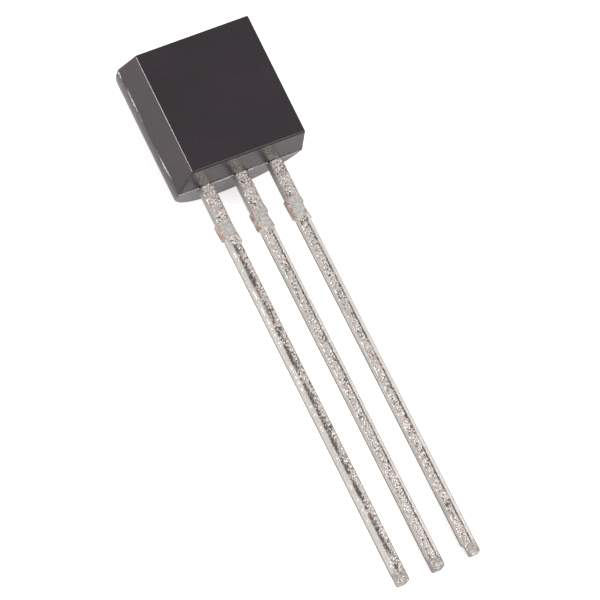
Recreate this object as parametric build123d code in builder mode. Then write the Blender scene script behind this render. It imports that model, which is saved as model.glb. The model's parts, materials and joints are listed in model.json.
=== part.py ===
from build123d import *
import os
from math import atan2, cos, degrees, radians, sin, tan

# A temperature sensor in the small moulded package with three leads in a row: a block with one flat
# face and one half-round back. All sizes are in millimetres.
#
# The sensor's own frame has X across the leads, Y from the flat face to the round back, and Z along
# the leads towards the top of the body. Its zero is on the middle lead, where it leaves the body, in
# the plane where the two halves of the mould met.

# ---- Moulded body -----------------------------------------------------------------------------
body_width = 4.64  # across the parting line; the round back is half a circle of this width
body_height = 4.62  # along the leads, at the parting line
front_depth = 1.32  # parting line to flat face
side_draft = 10.4  # degrees that each side leans in towards the flat face
front_end_draft = 7.0  # degrees that both ends lean in towards the flat face
back_end_draft = 5.5  # degrees that both ends lean in towards the round back
face_edge_radius = 0.07  # round the flat face

# ---- Leads, stamped side by side from one strip ------------------------------------------------
lead_pitch = 1.27
lead_thickness = 0.39
lead_length = 14.35  # outside the body
lead_width = 0.40  # from the tie bar's stubs to the tip
neck_width = 0.46  # from the body to the stubs
stub_width = 0.53  # across what is left of the tie bar that held the leads together
stub_start = 1.15  # body to the stubs
stub_end = 1.95  # body to the far end of the stubs
tip_radius = 0.09  # on the corners of the sheared tip
tip_lean = 0.12  # the leads are bent a little: how far all the tips lie to the right
tip_spread = 0.035  # and how much further out the outer tips lie

# ---- Lead frame inside the body ----------------------------------------------------------------
frame_gap = 0.20  # between neighbouring pieces of the frame
flag_start = 0.50  # plastic under the wide ends of the outer leads
flag_height = 0.70
side_cover = 0.42  # plastic outside the wide ends, at the parting line
paddle_width = 1.90  # the middle lead's wide end, which carries the die
paddle_height = 2.20

# ---- Die and its bonds -------------------------------------------------------------------------
die_width = 1.20
die_height = 1.00
die_thickness = 0.25
glue_thickness = 0.03
glue_margin = 0.05  # how far the glue shows round the die
landing_length = 0.55  # bare paddle below the die, where the middle wire lands
pad_inset = 0.12  # bond pads in from the die's edges
wire_radius = 0.0125
ball_radius = 0.04
ball_height = 0.02
stitch_radius = 0.035
stitch_height = 0.01
loop_rise = 0.24  # top of a wire above the die
loop_bend = 0.05
landing_rise = 0.12  # where a wire turns down to its landing

# ---- Rest pose ---------------------------------------------------------------------------------
# The sensor lies on its round back with the flat face up. It stands on the lower edge of the back
# and on the tips of the leads, so the leads slope down from the body by rest_tilt.
back_radius = body_width / 2
front_end_inset = front_depth * tan(radians(front_end_draft))
back_end_inset = back_radius * tan(radians(back_end_draft))
rest_tilt = atan2(back_radius - lead_thickness, lead_length + back_end_inset)

rest_height = back_radius * cos(rest_tilt) - back_end_inset * sin(rest_tilt)
far_end = (body_height - back_end_inset) * cos(rest_tilt) + back_radius * sin(rest_tilt)
tip_end = -lead_length * cos(rest_tilt)
origin = Vector(0, -(far_end + tip_end) / 2, rest_height)

# Three views of the sensor, as planes: from its lead end, from its front and from its side.
end_view = Plane(origin, x_dir=(1, 0, 0), z_dir=(0, cos(rest_tilt), sin(rest_tilt)))
front_view = Plane(origin, x_dir=end_view.x_dir, z_dir=-end_view.y_dir)
side_view = Plane(origin, x_dir=end_view.y_dir, z_dir=end_view.x_dir)


def sensor_point(x, y, z):
    """A point of the sensor's own frame, in the rest pose."""
    return end_view.from_local_coords((x, y, z))


# ---- Leads -------------------------------------------------------------------------------------
flag_top = flag_start + flag_height
flag_inner = neck_width / 2 + frame_gap
flag_outer = body_width / 2 - side_cover
paddle_bottom = flag_top + frame_gap
paddle_top = paddle_bottom + paddle_height


def make_lead(label, centre, tip_centre, wide_start, wide_end, wide_left, wide_right):
    """One lead: the straight run outside the body, and its wide end inside it."""
    with BuildPart() as lead:
        with BuildSketch(front_view) as outline:
            with BuildLine():
                Polyline(
                    (centre - lead_width / 2, -stub_end),
                    (tip_centre - lead_width / 2, -lead_length),
                    (tip_centre + lead_width / 2, -lead_length),
                    (centre + lead_width / 2, -stub_end),
                    close=True,
                )
            make_face()
            for width, low, high in (
                (stub_width, -stub_end, -stub_start),
                (neck_width, -stub_start, wide_start),
            ):
                with Locations((centre, (low + high) / 2)):
                    Rectangle(width, high - low)
            with Locations(((wide_left + wide_right) / 2, (wide_start + wide_end) / 2)):
                Rectangle(wide_right - wide_left, wide_end - wide_start)
            fillet(outline.vertices().group_by(Axis.Y)[0], tip_radius)
        extrude(amount=-lead_thickness)
    lead.part.label = label
    return lead.part


tip_pitch = lead_pitch + tip_spread

lead_centre = make_lead(
    "lead_centre", 0, tip_lean, paddle_bottom, paddle_top, -paddle_width / 2, paddle_width / 2
)
lead_left = make_lead(
    "lead_left", -lead_pitch, tip_lean - tip_pitch, flag_start, flag_top, -flag_outer, -flag_inner
)
lead_right = make_lead(
    "lead_right", lead_pitch, tip_lean + tip_pitch, flag_start, flag_top, flag_inner, flag_outer
)

# ---- Die and its glue --------------------------------------------------------------------------
die_bottom = paddle_bottom + landing_length
die_middle = die_bottom + die_height / 2
die_face = glue_thickness + die_thickness  # in front of the lead frame

with BuildPart() as die_attach:
    with BuildSketch(front_view):
        with Locations((0, die_middle)):
            Rectangle(die_width + 2 * glue_margin, die_height + 2 * glue_margin)
    extrude(amount=glue_thickness)
die_attach.part.label = "die_attach"

with BuildPart() as sensor_die:
    with BuildSketch(front_view.offset(glue_thickness)):
        with Locations((0, die_middle)):
            Rectangle(die_width, die_height)
    extrude(amount=die_thickness)
sensor_die.part.label = "sensor_die"


# ---- Bond wires --------------------------------------------------------------------------------
def make_bond_wire(label, pad, landing):
    """A gold wire from a pad on the die, (x, z), over its loop and down to the lead frame, (x, z)."""
    with BuildPart() as wire:
        with BuildLine() as loop:
            FilletPolyline(
                sensor_point(pad[0], -die_face, pad[1]),
                sensor_point(pad[0], -die_face - loop_rise, pad[1]),
                sensor_point(landing[0], -landing_rise, landing[1]),
                sensor_point(landing[0], 0, landing[1]),
                radius=loop_bend,
            )
        with BuildSketch(Plane(loop.line @ 0, z_dir=loop.line % 0)):
            Circle(wire_radius)
        sweep()
        with BuildSketch(front_view.offset(die_face)):
            with Locations(pad):
                Circle(ball_radius)
        extrude(amount=ball_height)
        with BuildSketch(front_view):
            with Locations(landing):
                Circle(stitch_radius)
        extrude(amount=stitch_height)
    wire.part.label = label
    return wire.part


pad_x = die_width / 2 - pad_inset
pad_z = die_bottom + pad_inset
flag_middle = ((flag_inner + flag_outer) / 2, (flag_start + flag_top) / 2)

bond_wires = [
    make_bond_wire("bond_wire_left", (-pad_x, pad_z), (-flag_middle[0], flag_middle[1])),
    make_bond_wire("bond_wire_centre", (0, pad_z), (0, paddle_bottom + landing_length / 3)),
    make_bond_wire("bond_wire_right", (pad_x, pad_z), flag_middle),
]

# ---- Moulded body ------------------------------------------------------------------------------
# The block is what the outline from the lead end and the outline from the side have in common.
front_width = body_width - 2 * front_depth * tan(radians(side_draft))
embedded = [lead_left, lead_centre, lead_right, die_attach.part, sensor_die.part, *bond_wires]

with BuildPart() as moulded_body:
    with BuildSketch(end_view):
        with BuildLine():
            flat_face = Line((-front_width / 2, -front_depth), (front_width / 2, -front_depth))
            right_side = Line(flat_face @ 1, (back_radius, 0))
            round_back = ThreePointArc(right_side @ 1, (0, back_radius), (-back_radius, 0))
            Line(round_back @ 1, flat_face @ 0)
        make_face()
    extrude(amount=body_height)
    with BuildSketch(side_view):
        with BuildLine():
            Polyline(
                (-front_depth, front_end_inset),
                (0, 0),
                (back_radius, back_end_inset),
                (back_radius, body_height - back_end_inset),
                (0, body_height),
                (-front_depth, body_height - front_end_inset),
                close=True,
            )
        make_face()
    extrude(amount=back_radius, both=True, mode=Mode.INTERSECT)
    front_face = moulded_body.faces().sort_by(Axis(origin, -end_view.y_dir))[-1]
    fillet(front_face.edges(), face_edge_radius)
    for piece in embedded:
        add(piece, mode=Mode.SUBTRACT)
moulded_body.part.label = "moulded_body"

# ---- Write the pieces --------------------------------------------------------------------------
os.makedirs("parts", exist_ok=True)
for piece in (moulded_body.part, *embedded):
    export_step(piece, f"parts/{piece.label}.step")

print("rest tilt", round(degrees(rest_tilt), 2), "degrees")
print("body depth", round(front_depth + back_radius, 3), "flat face", round(front_width, 3))
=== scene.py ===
# %% [markdown]
# # A small moulded temperature sensor
#
# The sensor is a block of black epoxy with three tinned copper leads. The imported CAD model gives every
# size and place; this file gives the looks. It loads the model first, because each piece made here has
# to lie exactly where the model says.

import json
import math

import bmesh
import bpy
from mathutils import Matrix, Vector, noise


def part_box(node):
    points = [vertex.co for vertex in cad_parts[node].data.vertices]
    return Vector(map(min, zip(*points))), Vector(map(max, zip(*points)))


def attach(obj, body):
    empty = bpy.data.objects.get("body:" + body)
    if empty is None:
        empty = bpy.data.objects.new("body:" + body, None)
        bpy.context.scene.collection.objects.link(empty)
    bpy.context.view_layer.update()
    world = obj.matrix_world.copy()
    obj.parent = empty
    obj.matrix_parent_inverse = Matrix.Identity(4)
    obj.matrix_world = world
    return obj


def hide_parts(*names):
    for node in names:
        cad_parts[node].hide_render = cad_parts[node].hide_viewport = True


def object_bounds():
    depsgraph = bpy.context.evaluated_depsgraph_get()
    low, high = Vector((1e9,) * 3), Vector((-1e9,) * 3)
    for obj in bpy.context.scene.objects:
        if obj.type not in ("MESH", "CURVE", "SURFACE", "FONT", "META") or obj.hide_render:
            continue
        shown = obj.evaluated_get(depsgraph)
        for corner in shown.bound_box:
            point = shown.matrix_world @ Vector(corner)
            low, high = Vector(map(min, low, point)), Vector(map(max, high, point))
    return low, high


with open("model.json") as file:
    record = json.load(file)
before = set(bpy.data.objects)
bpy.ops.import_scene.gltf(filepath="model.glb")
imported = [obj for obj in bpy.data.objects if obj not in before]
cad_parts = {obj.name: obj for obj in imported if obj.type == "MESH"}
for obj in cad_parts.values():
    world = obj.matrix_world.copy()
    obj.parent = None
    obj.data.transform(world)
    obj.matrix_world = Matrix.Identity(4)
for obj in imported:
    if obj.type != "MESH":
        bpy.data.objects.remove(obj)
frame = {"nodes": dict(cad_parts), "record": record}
cad_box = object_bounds()
print("CAD box", [list(corner) for corner in cad_box])

# %% [markdown]
# ## The sensor's own frame
#
# The sensor lies on its round back, so its leads slope. Its shape is far easier to describe in a frame
# of its own: X across the leads, Y from the flat face to the round back, Z along the leads towards the
# top of the body, in millimetres. The record's mounts give the directions and the CAD nodes give the
# zero, which is on the middle lead, where it leaves the body, in the plane where the mould parted.

# %% The sensor's own frame
MM = 0.001
mounts = {mount["name"]: mount for mount in frame["record"]["mounts"]}
to_back = -Vector(mounts["flat_face"]["axis"])
to_top = -Vector(mounts["lead_centre_tip"]["axis"])
across = to_back.cross(to_top)


def reach(node, direction):
    """Lowest and highest place of a CAD node along a direction, in metres."""
    places = [v.co.dot(direction) for v in frame["nodes"][node].data.vertices]
    return min(places), max(places)


parting_plane, lead_back = reach("lead_centre", to_back)
lead_end, body_top = reach("moulded_body", to_top)
zero = to_back * parting_plane + to_top * lead_end
SENSOR = Matrix((across, to_back, to_top)).transposed().to_4x4()
SENSOR.translation = zero
SENSOR = SENSOR @ Matrix.Scale(MM, 4)
print("zero of the sensor's frame, mm", [round(c / MM, 3) for c in zero])

# %% [markdown]
# ## Sizes
#
# What the CAD model knows is measured from it. The rest is what the model's source names too: the
# drafts of the body and the widths of the leads.

# %% Sizes, in millimetres
BODY_WIDTH = (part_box("moulded_body")[1].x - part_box("moulded_body")[0].x) / MM
BODY_HEIGHT = (body_top - lead_end) / MM
FRONT_DEPTH = (parting_plane - reach("moulded_body", to_back)[0]) / MM
LEAD_THICKNESS = (lead_back - parting_plane) / MM
LEAD_LENGTH = (lead_end - reach("lead_centre", to_top)[0]) / MM
SIDE_DRAFT = math.radians(10.4)  # how far each side leans in towards the flat face
FRONT_END_DRAFT = math.radians(7.0)  # and both ends, towards the flat face
BACK_END_DRAFT = math.radians(5.5)  # and both ends, towards the round back
LEAD_PITCH = 1.27
LEAD_WIDTH = 0.40  # below the tie bar's stubs
NECK_WIDTH = 0.46  # at the body
STUB_WIDTH = 0.53  # across the stubs
STUB_START = 1.15  # from the body
STUB_END = 1.95
NECK_TOP = 0.1  # plastic under the wide ends of the leads, at least
print("body", round(BODY_WIDTH, 3), round(BODY_HEIGHT, 3), "front depth", round(FRONT_DEPTH, 3))
print("lead", round(LEAD_THICKNESS, 3), "thick", round(LEAD_LENGTH, 3), "long")

# %% [markdown]
# ## The camera
#
# A long lens far away shows a small part almost without perspective. The camera looks down on the
# sensor from its left and from its lead end, and is rolled so that the leads run down to the right.

# %% The camera
VIEW_AZIMUTH = math.radians(49.15)
VIEW_ELEVATION = math.radians(59.18)
VIEW_ROLL = math.radians(23.94)
VIEW_DISTANCE = 198.5 * MM
LENS = 375.5  # millimetres, a very long one
AIM_FROM_CENTRE = Vector((-0.281, 0.078, -0.096)) * MM

level = Vector((math.sin(VIEW_AZIMUTH), math.cos(VIEW_AZIMUTH), 0)) * math.cos(VIEW_ELEVATION)
look = level - Vector((0, 0, math.sin(VIEW_ELEVATION)))
aim = (cad_box[0] + cad_box[1]) / 2 + AIM_FROM_CENTRE

camera = bpy.data.objects.new("camera", bpy.data.cameras.new("camera"))
bpy.context.scene.collection.objects.link(camera)
bpy.context.scene.camera = camera
camera.data.lens = LENS
camera.data.clip_start = 0.01
camera.location = aim - look * VIEW_DISTANCE
turn = look.to_track_quat("-Z", "Y").to_matrix().to_4x4() @ Matrix.Rotation(VIEW_ROLL, 4, "Z")
camera.rotation_euler = turn.to_euler()
print("camera", [round(c / MM, 1) for c in camera.location])

# %% [markdown]
# ## Light and floor
#
# The sensor lies on a plain pale floor. Black epoxy and bright tin are seen by what they reflect, so
# the sky stays a soft grey: a white one would turn the flat face grey. Three softboxes stand where the
# flat face doesn't mirror them into the camera. The small one on the left draws the bright line along
# the left edge of the flat face. The one over the lead end lights the tops of the leads, which the
# body's end mirrors as paler bands, and the one at the back makes the grains of the tin sparkle.
#
# The floor could be lit until it is white, but that would wash out the sensor. Instead it glows, only
# for the camera and, more weakly, in what mirrors it, so it stays pale and keeps its soft shadow.

# %% Light and floor
def linear(code):
    """A colour as Blender wants it, from its sRGB hex code."""
    parts = [int(code[i : i + 2], 16) / 255 for i in (1, 3, 5)]
    return (*(c / 12.92 if c <= 0.04045 else ((c + 0.055) / 1.055) ** 2.4 for c in parts), 1)


def add_node(tree, kind, inputs=None, **settings):
    """Adds a node with its settings; an input is a value or a socket to link."""
    made = tree.nodes.new(kind)
    for name, value in settings.items():
        setattr(made, name, value)
    for name, value in (inputs or {}).items():
        if isinstance(value, bpy.types.NodeSocket):
            tree.links.new(value, made.inputs[name])
        else:
            made.inputs[name].default_value = value
    return made


def add_lamp(name, direction, distance, size, power):
    """A square lamp that faces the sensor from a direction, with its size and distance in metres."""
    data = bpy.data.lights.new(name, "AREA")
    data.size = size
    data.energy = power
    lamp = bpy.data.objects.new(name, data)
    bpy.context.scene.collection.objects.link(lamp)
    towards = Vector(direction).normalized()
    lamp.location = aim + towards * distance
    lamp.rotation_euler = (-towards).to_track_quat("-Z", "Y").to_euler()


scene = bpy.context.scene
scene.view_settings.view_transform = "Standard"
add_lamp("left_softbox", (-0.93, 0.25, 0.20), 0.30, 0.10, 0.85)
add_lamp("lead_end_softbox", (0.39, -0.38, 0.84), 0.30, 0.14, 0.24)
add_lamp("back_softbox", (-0.25, 0.75, 0.62), 0.30, 0.16, 0.14)

sky = bpy.data.worlds.new("sky")
scene.world = sky
sky.use_nodes = True
sky.node_tree.nodes["Background"].inputs["Color"].default_value = linear("#d9d6d7")

FLOOR_SIZE = 1.2  # metres
FLOOR_GLOW = 0.55  # as the camera sees it, on top of the light that falls on it
MIRRORED_GLOW = 0.24  # as shiny surfaces see it
half = FLOOR_SIZE / 2
corners = [(-half, -half, 0), (half, -half, 0), (half, half, 0), (-half, half, 0)]
floor_mesh = bpy.data.meshes.new("floor")
floor_mesh.from_pydata(corners, [], [(0, 1, 2, 3)])
floor = bpy.data.objects.new("floor", floor_mesh)
scene.collection.objects.link(floor)

paper = bpy.data.materials.new("pale_paper")
paper.use_nodes = True
tree = paper.node_tree
tree.nodes.clear()
path = add_node(tree, "ShaderNodeLightPath").outputs
mirrored = add_node(
    tree, "ShaderNodeMath", {0: path["Is Glossy Ray"], 1: MIRRORED_GLOW}, operation="MULTIPLY"
)
glow = add_node(
    tree,
    "ShaderNodeMath",
    {0: path["Is Camera Ray"], 1: FLOOR_GLOW, 2: mirrored.outputs[0]},
    operation="MULTIPLY_ADD",
)
diffuse = add_node(tree, "ShaderNodeBsdfDiffuse", {"Color": linear("#e6e3e3")})
emission = add_node(tree, "ShaderNodeEmission", {"Strength": glow.outputs[0]})
both = add_node(tree, "ShaderNodeAddShader", {0: diffuse.outputs[0], 1: emission.outputs[0]})
add_node(tree, "ShaderNodeOutputMaterial", {"Surface": both.outputs[0]})
floor_mesh.materials.append(paper)
print("lamps", [lamp.name for lamp in bpy.data.lights])

# %% [markdown]
# ## Making a piece
#
# Each piece is drawn in millimetres in the sensor's own frame and moved to its place at the end, so
# its object stays at the origin and its place is in its mesh, as on the CAD nodes. A modifier that
# joins or cuts is applied at once, so the next step works on a plain mesh.

# %% Making a piece
def add_object(name, mesh):
    """An object for a mesh, in the scene."""
    made = bpy.data.objects.new(name, mesh)
    bpy.context.scene.collection.objects.link(made)
    return made


def after(mesh, kind, **settings):
    """The mesh after one modifier."""
    helper = add_object("helper", mesh)
    modifier = helper.modifiers.new(kind, kind)
    for name, value in settings.items():
        setattr(modifier, name, value)
    graph = bpy.context.evaluated_depsgraph_get()
    result = bpy.data.meshes.new_from_object(helper.evaluated_get(graph))
    bpy.data.objects.remove(helper)
    return result


def make_piece(name, mesh, node):
    """Moves a mesh from the sensor's frame to its place, as the piece that stands for a CAD node."""
    mesh.transform(SENSOR)
    mesh.name = name
    piece = add_object(name, mesh)
    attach(piece, "root")
    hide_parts(node)
    print(name, "triangles", sum(len(p.vertices) - 2 for p in mesh.polygons))
    return piece


def smooth_step(value):
    """0 below 0, 1 above 1, and a soft S between."""
    value = min(max(value, 0), 1)
    return value * value * (3 - 2 * value)


# %% [markdown]
# ## Black epoxy
#
# The body is epoxy moulding compound: resin filled with fine silica and a little carbon black, pressed
# hot into a polished mould. That gives a deep brown-black with a satin skin. A smooth shader would give
# the colour and miss the skin, so a fine noise stands for the filler, and a wide one for how the
# compound flowed. Where resin crept into the joint of the mould it set in a paper-thin fin, without
# filler, which scatters light and looks paler.

# %% Black epoxy
EPOXY_IOR = 1.55
FILLER_GRAIN = 0.05  # millimetres, coarser than the real filler so that it shows
FILLER_HEIGHT = 0.006
FLOW_MARKS = 1.6
GLOSS_SPREAD = 0.08  # how much the grain changes the roughness, each way


def epoxy_material(name, dark, light, roughness):
    """Epoxy between two colours, with a fine grain and faint marks of how it flowed."""
    material = bpy.data.materials.new(name)
    material.use_nodes = True
    tree = material.node_tree
    shader = tree.nodes["Principled BSDF"]
    shader.inputs["IOR"].default_value = EPOXY_IOR
    place = add_node(tree, "ShaderNodeTexCoord").outputs["Object"]
    grain = add_node(
        tree,
        "ShaderNodeTexNoise",
        {"Vector": place, "Scale": 1 / (FILLER_GRAIN * MM), "Detail": 3.0, "Roughness": 0.6},
    )
    flow = add_node(
        tree, "ShaderNodeTexNoise", {"Vector": place, "Scale": 1 / (FLOW_MARKS * MM), "Detail": 2.0}
    )
    tone = add_node(
        tree, "ShaderNodeMath", {0: grain.outputs["Fac"], 1: flow.outputs["Fac"]}, operation="MULTIPLY"
    )
    # Two noises multiplied stay mostly between these two values.
    shade = add_node(
        tree, "ShaderNodeMapRange", {"Value": tone.outputs[0], "From Min": 0.12, "From Max": 0.40}
    )
    colour = add_node(
        tree,
        "ShaderNodeMix",
        {"Factor": shade.outputs["Result"], 6: linear(dark), 7: linear(light)},
        data_type="RGBA",
    )
    gloss = add_node(
        tree,
        "ShaderNodeMapRange",
        {
            "Value": grain.outputs["Fac"],
            "To Min": roughness - GLOSS_SPREAD,
            "To Max": roughness + GLOSS_SPREAD,
        },
    )
    bump = add_node(
        tree,
        "ShaderNodeBump",
        {"Height": grain.outputs["Fac"], "Strength": 0.35, "Distance": FILLER_HEIGHT * MM},
    )
    tree.links.new(colour.outputs[2], shader.inputs["Base Color"])
    tree.links.new(gloss.outputs["Result"], shader.inputs["Roughness"])
    tree.links.new(bump.outputs["Normal"], shader.inputs["Normal"])
    return material


epoxy = epoxy_material("satin_black_epoxy", "#0b040b", "#20101b", 0.27)
flash = epoxy_material("unfilled_resin", "#9c8e8b", "#eee4e1", 0.35)
print("epoxy finishes", epoxy.name, flash.name)

# %% [markdown]
# ## The moulded body
#
# Two mould halves shaped it, and each side leans in so that the block lets go of its half. A bevel on a
# plain block would round its edges too, but its faces overlap where the leaning ends meet the round
# back. So the skin is a tube: columns go round the outline as seen from the lead end, and rows go up
# from one end to the other. The rows near an end draw in, which rounds its edge, and follow the two
# leaning planes there.

# %% The outline of the body, and its ends
BACK_SEGMENTS = 72
ROUND_STEPS = 6
FACE_RADIUS = 0.075  # round the flat face
CORNER_RADIUS = 0.10  # where side and end meet, at the parting line
END_RADIUS = 0.06  # round the ends, at the flat face and at the back
FLASH_REACH = 0.008  # how far the fin at the parting line stands out from the sides, at most
radius = BODY_WIDTH / 2 - FLASH_REACH


def body_outline():
    """The outline seen from the lead end, as (place, way out), from the flat face's left corner."""
    half_face = radius - FRONT_DEPTH * math.tan(SIDE_DRAFT)
    turn = math.pi / 2 - SIDE_DRAFT
    tangent = FACE_RADIUS * math.tan(turn / 2)
    corner = Vector((half_face - tangent, FACE_RADIUS - FRONT_DEPTH))
    right = []
    for i in range(ROUND_STEPS + 1):
        angle = turn * i / ROUND_STEPS
        way = Vector((math.sin(angle), -math.cos(angle)))
        right.append((corner + way * FACE_RADIUS, way))
    edge, way = right[-1]
    right += [(edge.lerp(Vector((radius, 0)), share), way) for share in (0.5, 0.9)]  # along the side
    left = [(Vector((-place.x, place.y)), Vector((-way.x, way.y))) for place, way in right]
    ways = [math.pi * i / BACK_SEGMENTS for i in range(BACK_SEGMENTS + 1)]
    ways = [Vector((math.cos(angle), max(math.sin(angle), 0))) for angle in ways]
    return right + [(way * radius, way) for way in ways] + left[::-1]


def end_radius(y):
    """How much the edge of an end is rounded, at a depth."""
    near = 1 + y / FRONT_DEPTH if y < 0 else 1 - y / radius
    return END_RADIUS + (CORNER_RADIUS - END_RADIUS) * smooth_step(near)


def end_inset(y):
    """How far the leaning ends lie inside the block's full height, at a depth."""
    return -y * math.tan(FRONT_END_DRAFT) if y < 0 else y * math.tan(BACK_END_DRAFT)


print("outline", len(body_outline()), "points, radius", round(radius, 3))

# %% The skin of the body
outline = body_outline()
rows = [(0, i) for i in range(ROUND_STEPS, -1, -1)] + [(1, i) for i in range(ROUND_STEPS + 1)]
verts = []
for at_top, i in rows:
    angle = math.pi / 2 * i / ROUND_STEPS
    for place, way in outline:
        size = end_radius(place.y)
        spot = place - way * size * (1 - math.cos(angle))
        height = end_inset(spot.y) + size * (1 - math.sin(angle))
        verts.append((spot.x, spot.y, BODY_HEIGHT - height if at_top else height))
columns = len(outline)
faces = []
for i in range(len(rows) - 1):
    for j in range(columns):
        k = (j + 1) % columns
        faces.append((i * columns + j, i * columns + k, (i + 1) * columns + k, (i + 1) * columns + j))
right_parting = next(i for i, (place, way) in enumerate(outline) if place.y >= 0)
left_parting = right_parting + BACK_SEGMENTS
back_half = list(range(right_parting, left_parting + 1))
front_half = list(range(left_parting, columns)) + list(range(right_parting + 1))
for half in (back_half, front_half):
    faces.append(half[::-1])
    faces.append([(len(rows) - 1) * columns + i for i in half])
block = bpy.data.meshes.new("block")
block.from_pydata(verts, [], faces)
for material in (epoxy, flash):
    block.materials.append(material)
print("block", len(block.polygons), "faces")

# %% [markdown]
# ## The fin at the parting line
#
# Resin crept a little way between the mould halves. A pale line painted on the block would look flat
# from the side, so the fin is a thin plate that follows the block's outline. Its edge comes and goes,
# which breaks the line as on the real thing.

# %% The fin
FIN_THICKNESS = 0.04
FIN_STEP = 0.03  # between its points along the sides and ends
FIN_ROOT = 0.05  # how deep the fin is sunk into the block
FIN_AT_LEADS = 0.038  # how far it stands out at the lead end, at most
FIN_WAVE = 0.5  # length of the stretches where the fin is left
FIN_CHIP = 0.09  # and of the chips in its edge
RIM_CORNER_POINTS = 8


def block_rim(step):
    """Points round the block in the parting plane, as (x, z) with the way out, corners rounded."""
    half_size = Vector((radius, BODY_HEIGHT / 2)) - Vector((CORNER_RADIUS, CORNER_RADIUS))
    middle = Vector((0, BODY_HEIGHT / 2))
    rim = []
    for along in (Vector((1, 0)), Vector((0, 1)), Vector((-1, 0)), Vector((0, -1))):
        out = Vector((along.y, -along.x))
        begin = middle + half_size * (out - along)
        end = middle + half_size * (out + along)
        count = round((end - begin).length / step)
        rim += [(begin.lerp(end, i / count) + out * CORNER_RADIUS, out) for i in range(count)]
        turns = [math.pi / 2 * i / RIM_CORNER_POINTS for i in range(RIM_CORNER_POINTS)]
        ways = [out * math.cos(turn) + along * math.sin(turn) for turn in turns]
        rim += [(end + way * CORNER_RADIUS, way) for way in ways]
    return rim


def fin_mesh():
    """The fin as a closed ring with a square section, whose outer edge comes and goes."""
    verts, faces = [], []
    rim = block_rim(FIN_STEP)
    for place, out in rim:
        # The middle number only picks another slice of the noise.
        wave = noise.noise((place.x / FIN_WAVE, 0.3, place.y / FIN_WAVE))
        wave += 0.7 * noise.noise((place.x / FIN_CHIP, 7.1, place.y / FIN_CHIP))
        # Where the edge comes out below zero it lies inside the block, and no fin shows.
        edge = FLASH_REACH * min(max(1.2 * wave - 0.45, -1), 1)
        at_lead_end = out.y < -0.9
        if at_lead_end:
            edge = FIN_AT_LEADS * min(max(0.6 + 0.9 * wave, -0.5), 1)
        half = FIN_THICKNESS / 2 * (1 + 0.4 * wave)
        thin = half * 0.7  # the fin's edge is thinner than its root
        for depth, y in ((-FIN_ROOT, -half), (edge, -thin), (edge, thin), (-FIN_ROOT, half)):
            spot = place + out * depth
            verts.append((spot.x, y, spot.y))
    for i in range(len(rim)):
        after_i = (i + 1) % len(rim)
        for j in range(4):
            k = (j + 1) % 4
            faces.append((4 * i + j, 4 * i + k, 4 * after_i + k, 4 * after_i + j))
    mesh = bpy.data.meshes.new("fin")
    mesh.from_pydata(verts, [], faces)
    for polygon in mesh.polygons:
        polygon.material_index = 1  # the block's second material
    return mesh


fin = fin_mesh()
print("fin", len(fin.polygons), "faces")

# %% [markdown]
# ## The pits at the leads
#
# At the corners of the leads bits of the body broke off with the fin and left small dark pits. Dark
# spots of colour would do from far away, but real holes catch their own shadow from every side. Each
# is cut with an uneven little ball that is drawn out along the leads.

# %% The pits
PIT_SIZE = 0.062
PIT_DEPTH = 3.5  # against its size across
PIT_FORWARD = 0.05  # from the parting plane towards the flat face
PIT_UNEVENNESS = 0.35


def add_pit(builder, place, size):
    """An uneven little ball, to be cut out of the block."""
    ball = bmesh.ops.create_icosphere(builder, subdivisions=2, radius=size)["verts"]
    for v in ball:
        # Each ball has its own bumps, because the noise is read at another place.
        v.co *= 1 + PIT_UNEVENNESS * noise.noise(v.co / size * 0.8 + place * 9)
        v.co = place + v.co * Vector((1, 1, PIT_DEPTH))


# At each lead: how far to the side of its middle each pit lies, and its share of the full size.
builder = bmesh.new()
for centre, spots in (
    (-LEAD_PITCH, ((-0.245, 1.0), (0.08, 0.8))),
    (0, ((-0.25, 1.0), (0.21, 0.6))),
    (LEAD_PITCH, ((-0.255, 0.7), (-0.16, 0.5))),
):
    for offset, share in spots:
        add_pit(builder, Vector((centre + offset, -PIT_FORWARD * share, 0)), PIT_SIZE * share)
pits = bpy.data.meshes.new("pits")
builder.to_mesh(pits)
builder.free()
print("pits", len(pits.polygons), "faces")

# %% [markdown]
# ## Joining the body
#
# The real body is moulded round the leads, the die and the wires, so without them it is hollow there.
# The fin is joined to the block, then the pits and everything embedded are cut out of it. All of these
# are closed meshes, which the manifold solver needs, and it is quick and leaves a closed mesh. The hollow
# of the glue stays apart from those of the die and the lead that it touches.

# %% Joining the body
def embedded_shape(cad):
    """A CAD node as a closed mesh in the sensor's frame, to be cut out of the block."""
    builder = bmesh.new()
    builder.from_mesh(cad.data)
    builder.transform(SENSOR.inverted())
    bmesh.ops.remove_doubles(builder, verts=builder.verts, dist=1e-5)
    mesh = bpy.data.meshes.new(cad.name)
    builder.to_mesh(mesh)
    builder.free()
    mesh.materials.clear()
    return mesh


tools = [("UNION", fin), ("DIFFERENCE", pits)]
tools += [
    ("DIFFERENCE", embedded_shape(cad)) for node, cad in frame["nodes"].items() if node != "moulded_body"
]
for operation, mesh in tools:
    tool = add_object("tool", mesh)
    block = after(block, "BOOLEAN", operation=operation, object=tool, solver="MANIFOLD")
    bpy.data.objects.remove(tool)
    print("block after", mesh.name, len(block.polygons), "faces")

for polygon in block.polygons:
    polygon.use_smooth = True
block.set_sharp_from_angle(angle=math.radians(35))
body = make_piece("body", block, "moulded_body")
body.modifiers.new("normals", "WEIGHTED_NORMAL").keep_sharp = True
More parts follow.
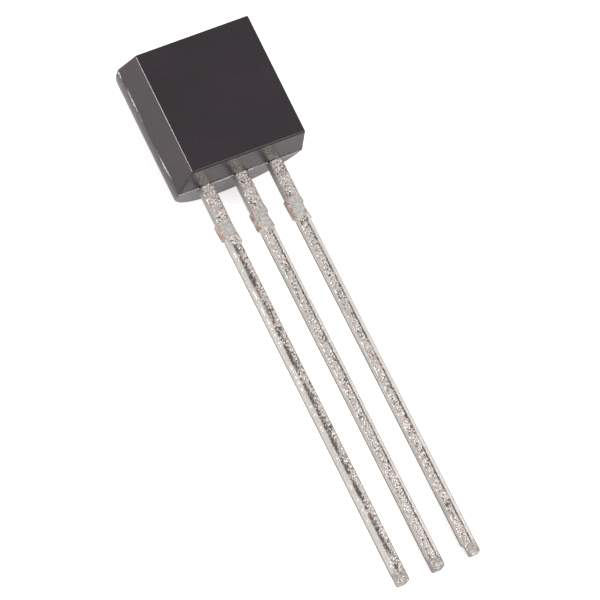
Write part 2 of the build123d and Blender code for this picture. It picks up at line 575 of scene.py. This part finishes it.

# %% [markdown]
# ## Tinned copper
#
# The leads are copper alloy, dipped in molten tin after the moulding. Tin sets in small dull grains
# with darker dross between them, so it is mottled and only half bright. Where the tie bar was sheared
# off, the cut shows pink copper, and where a tool pressed, the tin is rubbed to a smooth grey. Noise
# alone could mottle the tin, but it can't know where a tool pressed. So the mesh says where each finish
# is, in four values that every point carries, and noise only adds the grain that is finer than its
# points. The dark one also carries painted shade along the leads' edges and a painted dark reflection
# in the furrow.

# %% Tinned copper
FINE_GRAIN = 0.045  # millimetres
FINE_HEIGHT = 0.008
FRESH_ROUGHNESS = 0.30
RUBBED_ROUGHNESS = 0.50
FINISHES = ("dross_and_painted_shade", "rubbed", "copper", "flowed")

tin = bpy.data.materials.new("hot_dipped_tin")
tin.use_nodes = True
tree = tin.node_tree
shader = tree.nodes["Principled BSDF"]
place = add_node(tree, "ShaderNodeTexCoord").outputs["Object"]
fine = add_node(
    tree,
    "ShaderNodeTexNoise",
    {"Vector": place, "Scale": 1 / (FINE_GRAIN * MM), "Detail": 4.0, "Roughness": 0.65},
)
carried = {
    name: add_node(tree, "ShaderNodeAttribute", attribute_name=name).outputs["Fac"]
    for name in FINISHES
}
# The noise stays mostly near its middle, so a narrow range of it gives the full contrast.
speck = add_node(
    tree, "ShaderNodeMapRange", {"Value": fine.outputs["Fac"], "From Min": 0.38, "From Max": 0.58}
)
bright = add_node(
    tree,
    "ShaderNodeMix",
    {"Factor": speck.outputs["Result"], 6: linear("#ada19a"), 7: linear("#fff6ef")},
    data_type="RGBA",
)
cut = add_node(
    tree,
    "ShaderNodeMix",
    {"Factor": speck.outputs["Result"], 6: linear("#785a54"), 7: linear("#c4a39b")},
    data_type="RGBA",
)
colour = bright.outputs[2]
for name, finish in (
    ("flowed", linear("#f1eee8")),
    ("rubbed", linear("#b9bbb5")),
    # the dark tin of the dross, which also paints shade at the edges and a dark reflection in the furrow
    ("dross_and_painted_shade", linear("#6d6660")),
    ("copper", cut.outputs[2]),
):
    colour = add_node(
        tree, "ShaderNodeMix", {"Factor": carried[name], 6: colour, 7: finish}, data_type="RGBA"
    ).outputs[2]
gloss = add_node(
    tree,
    "ShaderNodeMapRange",
    {"Value": carried["rubbed"], "To Min": FRESH_ROUGHNESS, "To Max": RUBBED_ROUGHNESS},
)
bump = add_node(
    tree,
    "ShaderNodeBump",
    {"Height": fine.outputs["Fac"], "Strength": 0.7, "Distance": FINE_HEIGHT * MM},
)
tree.links.new(colour, shader.inputs["Base Color"])
tree.links.new(gloss.outputs["Result"], shader.inputs["Roughness"])
tree.links.new(bump.outputs["Normal"], shader.inputs["Normal"])
shader.inputs["Metallic"].default_value = 1.0
print("tin finish", tin.name, "blends", FINISHES)

# %% [markdown]
# ## The marks of each lead
#
# The three leads were cut and dipped together, and still no two are alike: the stubs of the tie bar end
# at other places, and the tin drained another way. Three copies of one lead would look like a drawing,
# so each lead has its own marks.
#
# left_stub is where the stub on the left starts and ends, in mm below the body. right_stubs give the
# same and how far each stands out. furrow is where across the lead the tin's furrow runs, from 0 at the
# left edge to 1 at the right, and width is how far it spreads, as a share too. smooth is the side of the
# furrow on which the tin is smooth, -1 for left and 1 for right. pinch is how much thinner the tip is,
# in mm.

# %% The marks of each lead
LEADS = {
    "lead_left": dict(
        left_stub=(1.31, 1.88),
        right_stubs=((1.40, 2.13, 0.075),),
        furrow=0.38,
        width=0.20,
        smooth=-1,
        pinch=0.02,
    ),
    "lead_centre": dict(
        left_stub=(1.34, 1.98),
        right_stubs=((1.13, 1.50, 0.045), (1.60, 2.03, 0.055)),
        furrow=0.68,
        width=0.06,
        smooth=1,
        pinch=0.02,
    ),
    "lead_right": dict(
        left_stub=(1.34, 2.03),
        right_stubs=((1.27, 1.62, 0.045), (1.75, 2.20, 0.060)),
        furrow=0.63,
        width=0.065,
        smooth=1,
        pinch=0.16,
    ),
}
print("leads", list(LEADS))

# %% [markdown]
# ## The shape of a lead
#
# A lead is a skin over many close rings, from the sheared tip to the wide end that is moulded in. A bar
# with bevels would be quicker, but it has no points where the stubs and the grains need them. Each ring
# is the lead's rounded section at its place, so the stubs of the tie bar, the bent run and the pinched
# tip are all in the ring's size.

# %% The shape of a lead
TIN_ROUND = 0.045  # how round the tin leaves the lead's edges
TIP_ROUND = 0.12  # the tip's right corner; its left one is half as round
NOSE = 0.03  # how round the tip's front edge is
BARE_TIP = 0.48  # the last stretch, pressed smooth by the cutter
NECK_TAPER = 0.8  # how far below the stubs' start the neck takes to narrow
STUB_CORNER = 0.05  # how soft the ends of the left stub are
SIDES = ((1, 0, 30), (0, 1, 8), (-1, 0, 12), (0, -1, 8))  # front, right, back, left: (x, y), points
CORNER_POINTS = 4


def section(left, right, front, back):
    """A lead's section with rounded corners, as (place, way out), round from its front left corner."""
    middle = Vector(((left + right) / 2, (front + back) / 2))
    core = Vector(((right - left) / 2, (back - front) / 2)) - Vector((TIN_ROUND, TIN_ROUND))
    ring = []
    for along_x, along_y, count in SIDES:
        along = Vector((along_x, along_y))
        out = Vector((along_y, -along_x))
        begin = middle + core * (out - along)
        end = middle + core * (out + along)
        ring += [(begin.lerp(end, i / count) + out * TIN_ROUND, out) for i in range(count)]
        turns = [math.pi / 2 * i / CORNER_POINTS for i in range(CORNER_POINTS)]
        ways = [out * math.cos(turn) + along * math.sin(turn) for turn in turns]
        ring += [(end + way * TIN_ROUND, way) for way in ways]
    return ring


def rounded_off(distance, size):
    """How much a rounded corner of that size takes off at a distance from the end."""
    short = max(size - distance, 0)
    return size - math.sqrt(size * size - short * short)


def stretch(value, start, end, soft):
    """1 from start to end, with soft ends."""
    return smooth_step((value - start) / soft + 0.5) * smooth_step((end - value) / soft + 0.5)


def lead_reach(marks, below):
    """How far a lead reaches left and right of its own line, at a distance below the body."""
    narrowed = smooth_step((below - STUB_START) / NECK_TAPER)
    half_width = (NECK_WIDTH + (LEAD_WIDTH - NECK_WIDTH) * narrowed) / 2
    start, end = marks["left_stub"]
    left = half_width + (STUB_WIDTH - NECK_WIDTH) * stretch(below, start, end, STUB_CORNER)
    right = half_width
    for start, end, height in marks["right_stubs"]:
        # A right stub grows all the way down and ends at once.
        grown = smooth_step((below - start) / (end - start)) * smooth_step((end - below) / 0.04 + 1)
        right += height * grown
    return left, right


print("points in a ring", len(section(0, 1, 0, 1)))

# %% [markdown]
# ## The tin on a lead
#
# The tin has a relief: every point is sunk a little between the grains, and in the furrow where the
# molten tin drained away beside a smooth, thicker run. Displacing the mesh by a texture would sink the
# points too, but the finish has to change at the same places. So one function works out both.

# %% The tin on a lead
TIN_GRAIN = 0.045  # millimetres, as are the sizes below
GRAIN_DEPTH = 0.010
DOME = 0.012  # how much lower the front's edges lie than its middle
FURROW_DEPTH = 0.020
FURROW_START = 2.1  # below the body
FURROW_FADE = 0.5  # over what length it starts and ends
FURROW_BREAKS = 0.6  # size of the stretches where it is weaker
BLOTCH = 0.11  # size of the worn places in the rubbed tin
STREAK_WIDTH = 0.05  # streaks on the sides, along the lead
STREAK_LENGTH = 0.8
DIRT_PATCH = 0.3  # size of the cleaner and dirtier places
COPPER_PATCH = 0.2  # size of the places where the cut is bare or tinned


def relief(marks, spot, way, share, below):
    """How deep a point lies under the plain section, in mm, and then what FINISHES names.

    way leads out of the lead at spot. share goes from 0 at its left edge to 1 at its right one, and
    below is the distance from the body.
    """
    # Where the point lies, as values from 0 to 1.
    start, end = marks["left_stub"]
    front = smooth_step(-way.y * 2 - 0.6)
    left_side = smooth_step(-way.x * 2 - 0.5)
    sheared = stretch(below, start, end, STUB_CORNER) * left_side
    at_tip = smooth_step((below - LEAD_LENGTH + BARE_TIP) / 0.1)

    # What tools rubbed smooth: the front between the stubs, the tip, and the sides with the back.
    blotch = 0.7 + 0.9 * noise.noise(spot / BLOTCH)
    streak = noise.noise((spot.x / STREAK_WIDTH, spot.y / STREAK_WIDTH, spot.z / STREAK_LENGTH))
    rubbed = max(
        stretch(below, start - 0.02, end + 0.04, 0.12) * front * (0.05 + 0.8 * blotch),
        0.6 * at_tip * blotch,
        (1 - front) * (0.6 + 0.8 * streak),
    )
    rubbed = min(max(rubbed, 0), 1)

    # The furrow, weaker here and there, and the smooth run beside it.
    drained = stretch(below, FURROW_START, LEAD_LENGTH - BARE_TIP, FURROW_FADE) * front
    beside = (share - marks["furrow"]) * marks["smooth"] - 0.6 * marks["width"]
    beside = smooth_step(beside / 0.06) * drained
    furrow = math.exp(-(((share - marks["furrow"]) / marks["width"]) ** 2)) * drained
    furrow *= min(max(0.8 + noise.noise(spot / FURROW_BREAKS), 0), 1)

    # The grains: a gap round each, and some that are dark all over. More of them are dark in the furrow,
    # which paints its dark reflection over the real groove.
    distances, nearest = noise.voronoi(spot / TIN_GRAIN)
    grain = noise.cell(nearest[0] * 9)  # one value for each grain, from -1 to 1
    gap = 1 - smooth_step((distances[1] - distances[0]) / 0.3)
    rough = front * (1 - 0.85 * rubbed) * (1 - 0.85 * beside)
    dark_from = 0.88 - 0.25 * noise.noise(spot / DIRT_PATCH) - 0.65 * furrow
    speck = smooth_step(((grain + 1) / 2 - dark_from) / 0.12 + 0.5) * rough

    # Painted shade for the dark outline of the leads: below the stubs on the right side and the back of
    # the left one, above them on the left side. The tip is made darker all over too.
    painted_shade_and_dark_tip = smooth_step(way.x * 2 - 0.9) * 0.6
    painted_shade_and_dark_tip += smooth_step((spot.y / LEAD_THICKNESS - 0.70) / 0.10) * left_side
    painted_shade_and_dark_tip *= smooth_step((below - end) / 0.2)
    painted_shade_and_dark_tip += 0.45 * smooth_step((-way.x - 0.9) / 0.08) * smooth_step((start - below) / 0.1)
    painted_shade_and_dark_tip += 0.30 * at_tip * (0.5 + blotch)

    # Real dross in specks and gaps, painted dark reflection in the furrow, painted shade at the edges.
    dross_and_painted_shade = min(max(speck, gap * rough * 0.4, furrow * 0.85, painted_shade_and_dark_tip), 1)
    flowed = min(beside + smooth_step((-grain - 0.45) / 0.2) * rough, 1)
    copper = sheared * min(max(0.75 + 0.9 * noise.noise(spot / COPPER_PATCH), 0), 1)
    dome = (2 * share - 1) ** 2 * DOME * front
    depth = dome + GRAIN_DEPTH * rough * max(gap, speck) + FURROW_DEPTH * furrow
    return depth, dross_and_painted_shade * (1 - sheared), rubbed, copper, flowed


print("tin relief, mm", GRAIN_DEPTH, "grains", FURROW_DEPTH, "furrow")

# %% [markdown]
# ## Making a lead
#
# The rings are stacked from the tip up to the body, close enough together to carry the grains, and then
# three more give the wide end, hidden in the body. Where the lead starts and how far its tip leans are
# read from its CAD node, so the skin lies on it.

# %% Making a lead
RING_STEP = 0.024  # about half a grain
NOSE_RINGS = 8
PINCH_RUN = 0.14  # over what length the tip gets thinner


def make_lead(node, marks):
    """The skin of one lead, as a mesh in the sensor's frame."""
    places = [SENSOR.inverted() @ v.co for v in frame["nodes"][node].data.vertices]
    wide = [p for p in places if p.z > NECK_TOP]
    wide_left, wide_right = min(p.x for p in wide), max(p.x for p in wide)
    wide_start, wide_end = min(p.z for p in wide), max(p.z for p in wide)
    neck = [p.x for p in places if abs(p.z) < STUB_START + 0.01 and p.z < NECK_TOP]
    tip = [p.x for p in places if p.z < -LEAD_LENGTH + 0.2]
    top_x = (min(neck) + max(neck)) / 2
    tip_x = (min(tip) + max(tip)) / 2

    # Over the nose the rings lie closer together towards the tip, where it is roundest.
    nose = [LEAD_LENGTH - TIP_ROUND * (i / NOSE_RINGS) ** 2 for i in range(NOSE_RINGS)]
    count = round((LEAD_LENGTH - TIP_ROUND) / RING_STEP)
    run = [(LEAD_LENGTH - TIP_ROUND) * (1 - i / count) for i in range(count + 1)]
    verts, values = [], []
    for below in nose + run:
        lean = max(below - STUB_END, 0) / (LEAD_LENGTH - STUB_END)
        line = top_x + (tip_x - top_x) * lean
        left, right = lead_reach(marks, below)
        end = LEAD_LENGTH - below
        left = line - left + rounded_off(end, TIP_ROUND / 2)
        right = line + right - rounded_off(end, TIP_ROUND)
        front = rounded_off(end, NOSE)
        pinched = marks["pinch"] * smooth_step((BARE_TIP - end) / PINCH_RUN)
        back = LEAD_THICKNESS - front - pinched
        for place, way in section(left, right, front, back):
            spot = Vector((place.x, place.y, -below))
            share = (place.x - left) / (right - left)
            depth, *value = relief(marks, spot, way, share, below)
            verts.append((place.x - way.x * depth, place.y - way.y * depth, -below))
            values.append(value)
    neck_left, neck_right = top_x - NECK_WIDTH / 2, top_x + NECK_WIDTH / 2
    for left, right, z in (
        (neck_left, neck_right, wide_start),
        (wide_left, wide_right, wide_start),
        (wide_left, wide_right, wide_end),
    ):
        for place, way in section(left, right, 0, LEAD_THICKNESS):
            verts.append((place.x, place.y, z))
            values.append([0] * len(FINISHES))

    size = len(section(0, 1, 0, 1))
    rings = len(verts) // size
    # Seen from outside, the corners of all these faces go clockwise, so the faces point into the lead.
    faces = [tuple(range(size)), tuple(reversed(range((rings - 1) * size, rings * size)))]
    for i in range(rings - 1):
        for j in range(size):
            k = (j + 1) % size
            faces.append((i * size + j, (i + 1) * size + j, (i + 1) * size + k, i * size + k))
    mesh = bpy.data.meshes.new(node)
    mesh.from_pydata(verts, [], faces)
    for i, name in enumerate(FINISHES):
        layer = mesh.attributes.new(name, "FLOAT", "POINT")
        layer.data.foreach_set("value", [value[i] for value in values])
    for polygon in mesh.polygons:
        polygon.use_smooth = True
    mesh.set_sharp_from_angle(angle=math.radians(50))
    mesh.materials.append(tin)
    return mesh


for node, marks in LEADS.items():
    make_piece("tinned_" + node, make_lead(node, marks), node)

# %% [markdown]
# ## What is inside the body
#
# The die, its glue and the gold wires are sealed in, so nobody sees them unless the body is taken away.
# They could be drawn again in more detail, but their CAD shape is right, so they keep it and only get a
# finish. A silicon die is sawn from a polished wafer, die glue is epoxy full of silver flakes, and bond
# wire is drawn from nearly pure gold.

# %% What is inside the body
def plain_finish(name, dark, light, pattern, metallic, roughness):
    """A finish that varies between two colours over a pattern of that size in mm."""
    material = bpy.data.materials.new(name)
    material.use_nodes = True
    tree = material.node_tree
    shader = tree.nodes["Principled BSDF"]
    place = add_node(tree, "ShaderNodeTexCoord").outputs["Object"]
    pattern = add_node(
        tree, "ShaderNodeTexNoise", {"Vector": place, "Scale": 1 / (pattern * MM), "Detail": 3.0}
    )
    colour = add_node(
        tree,
        "ShaderNodeMix",
        {"Factor": pattern.outputs["Fac"], 6: linear(dark), 7: linear(light)},
        data_type="RGBA",
    )
    tree.links.new(colour.outputs[2], shader.inputs["Base Color"])
    shader.inputs["Metallic"].default_value = metallic
    shader.inputs["Roughness"].default_value = roughness
    return material


silicon = plain_finish("polished_silicon", "#33353f", "#454a5a", 0.30, 0.0, 0.12)
silver_glue = plain_finish("silver_filled_epoxy", "#8c8a87", "#c4c2be", 0.02, 0.7, 0.55)
gold = plain_finish("drawn_gold", "#c98f2e", "#e3b04a", 0.01, 1.0, 0.25)
wires = [node for node in frame["nodes"] if node.startswith("bond_wire")]
for node, slot, material in (
    ("sensor_die", "silicon", silicon),
    ("die_attach", "silver_glue", silver_glue),
    *((wire, "gold", gold) for wire in wires),
):
    cad = frame["nodes"][node]
    cad.data.materials.clear()
    cad.data.materials.append(material)
print("finished inside:", 2 + len(wires), "nodes")
